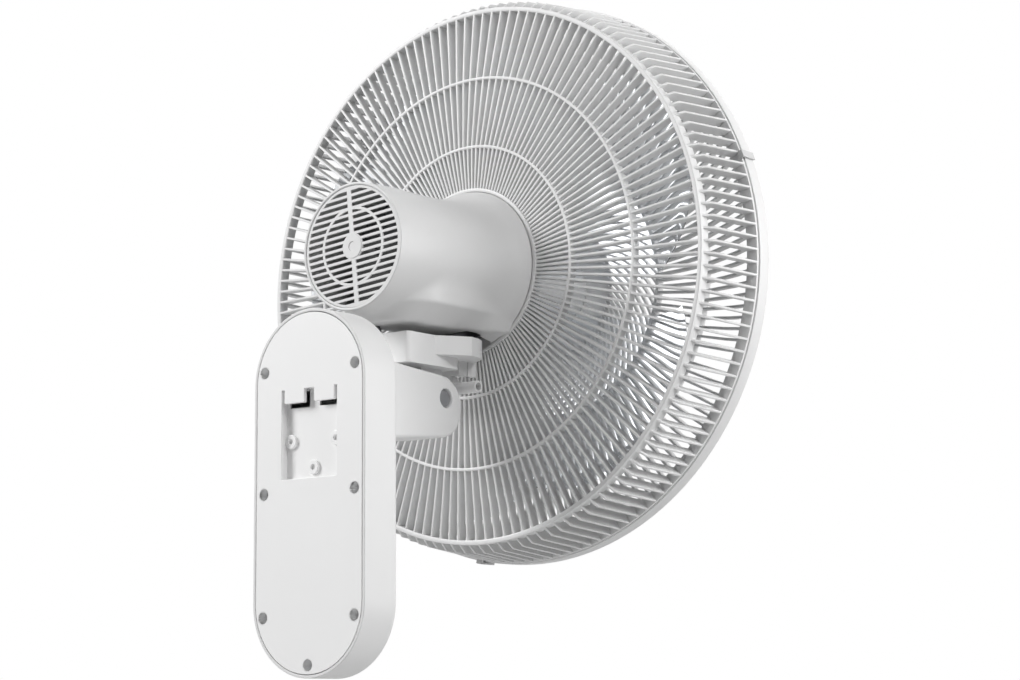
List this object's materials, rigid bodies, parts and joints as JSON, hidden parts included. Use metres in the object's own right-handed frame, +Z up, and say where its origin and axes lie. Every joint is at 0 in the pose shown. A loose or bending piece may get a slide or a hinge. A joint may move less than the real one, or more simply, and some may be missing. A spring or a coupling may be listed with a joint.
{
  "type": "wall mounted fan",
  "caption": "Wall mounted fan with a tilting and oscillating head, ribbed safety grilles and clear blades on a slim wall box.",
  "frame": {"origin": "centre of the back cover's rear face, where it lies on the wall", "axes": "+Z up, +Y into the wall, the fan faces -Y, +X sideways"},
  "size_m": [0.4372, 0.2948, 0.5261],
  "materials": {
    "box_plastic": "satin",
    "cover_plastic": "fine satin",
    "button_plastic": "satin",
    "bracket_plastic": "satin",
    "post_plastic": "satin",
    "motor_cover_plastic": "satin",
    "vent_plastic": "satin",
    "grille_plastic": "satin",
    "badge_plastic": "satin",
    "clear_blade": "clear, faintly blue",
    "screw_steel": "plain",
    "dark_steel": "dark",
    "cast_alloy": "as cast",
    "winding": "varnished",
    "board": "lacquered"
  },
  "bodies": {
    "wall_box": {"housing_shell": "box_plastic", "back_cover": "cover_plastic", "back_cover_screw_1": "screw_steel", "back_cover_screw_2": "screw_steel", "back_cover_screw_3": "screw_steel", "back_cover_screw_4": "screw_steel", "back_cover_screw_5": "screw_steel", "back_cover_screw_6": "screw_steel", "back_cover_screw_7": "screw_steel", "control_board": "board", "neck_shell": "box_plastic", "pivot_bolt": "screw_steel", "pivot_nut": "screw_steel"},
    "button_1": {"push_button_1": "button_plastic"},
    "button_2": {"push_button_2": "button_plastic"},
    "button_3": {"push_button_3": "button_plastic"},
    "button_4": {"push_button_4": "button_plastic"},
    "bracket": {"tilt_bracket": "bracket_plastic", "swivel_post": "post_plastic", "link_pin": "screw_steel"},
    "link": {"oscillation_link": "dark_steel"},
    "head": {"motor_cover": "motor_cover_plastic", "vent_cap": "vent_plastic", "vent_cap_screw": "screw_steel", "gearbox_housing": "post_plastic", "rear_end_shield": "cast_alloy", "front_end_shield": "cast_alloy", "stator_core": "dark_steel", "winding_rear": "winding", "winding_front": "winding", "bearing_rear": "screw_steel", "bearing_front": "screw_steel", "rear_grille": "grille_plastic", "grille_lock_nut": "post_plastic", "front_grille": "grille_plastic", "centre_badge": "badge_plastic", "rim_clip_1": "grille_plastic", "rim_clip_2": "grille_plastic", "rim_clip_3": "grille_plastic"},
    "crank": {"crank_arm": "dark_steel"},
    "rotor": {"rotor_core": "dark_steel", "motor_shaft": "screw_steel", "fan_blade": "clear_blade", "spinner_nut": "post_plastic"}
  },
  "joints": [
    {"name": "head_tilt", "type": "hinge", "parent": "wall_box", "child": "bracket", "pos_m": [0, -0.126, 0.0755], "axis": [1, 0, 0], "range_deg": [0, 25]},
    {"name": "head_swivel", "type": "hinge", "parent": "bracket", "child": "head", "pos_m": [0, -0.164, 0.12], "axis": [0, 0, 1], "range_deg": [-35, 35]},
    {"name": "link_pivot", "type": "hinge", "parent": "bracket", "child": "link", "pos_m": [0.015, -0.164, 0.1224], "axis": [0, 0, 1], "range_deg": [-35, 35]},
    {"name": "crank_turn", "type": "hinge", "parent": "head", "child": "crank", "pos_m": [0.015, -0.088, 0.125], "axis": [0, 0, 1], "continuous": true},
    {"name": "rotor_spin", "type": "hinge", "parent": "head", "child": "rotor", "pos_m": [0, -0.2, 0.1792], "axis": [0, 1, 0], "continuous": true},
    {"name": "button_1_press", "type": "slide", "parent": "wall_box", "child": "button_1", "axis": [0, 1, 0], "range_m": [0, 0.0015], "stiffness_N_per_m": 400, "springref_m": -0.001},
    {"name": "button_2_press", "type": "slide", "parent": "wall_box", "child": "button_2", "axis": [0, 1, 0], "range_m": [0, 0.0015], "stiffness_N_per_m": 400, "springref_m": -0.001},
    {"name": "button_3_press", "type": "slide", "parent": "wall_box", "child": "button_3", "axis": [0, 1, 0], "range_m": [0, 0.0015], "stiffness_N_per_m": 400, "springref_m": -0.001},
    {"name": "button_4_press", "type": "slide", "parent": "wall_box", "child": "button_4", "axis": [0, 1, 0], "range_m": [0, 0.0015], "stiffness_N_per_m": 400, "springref_m": -0.001}
  ]
}
